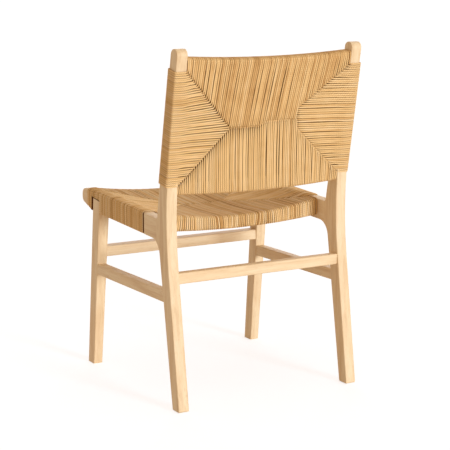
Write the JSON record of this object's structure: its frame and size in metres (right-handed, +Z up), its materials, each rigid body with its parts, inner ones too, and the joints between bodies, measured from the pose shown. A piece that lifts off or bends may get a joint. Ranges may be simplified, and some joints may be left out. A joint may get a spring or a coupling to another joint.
{
  "type": "side chair",
  "caption": "Wooden side chair with raked legs, rails hollowed to the body, and a seat and a leaning back woven from paper cord round the frame.",
  "frame": {"origin": "on the floor, below the middle of the chair's bounding box", "axes": "+Z up, the chair faces -Y, +X towards the sitter's left"},
  "size_m": [0.5068, 0.5336, 0.85],
  "materials": {
    "wood": "soaped pale hardwood",
    "dowel": "bare",
    "cord": "natural twisted paper cord",
    "tack": "dull"
  },
  "bodies": {
    "root": {"rear_leg_left": "wood", "rear_leg_right": "wood", "front_leg_left": "wood", "front_leg_right": "wood", "side_seat_rail_left": "wood", "side_seat_rail_right": "wood", "front_seat_rail": "wood", "rear_seat_rail": "wood", "back_top_rail": "wood", "back_bottom_rail": "wood", "front_stretcher": "wood", "rear_stretcher": "wood", "side_stretcher_left": "wood", "side_stretcher_right": "wood", "seat_weave": "cord", "back_weave": "cord", "front_leg_dowels": "dowel", "seat_cord_tacks": "tack", "back_cord_tacks": "tack"}
  },
  "joints": []
}
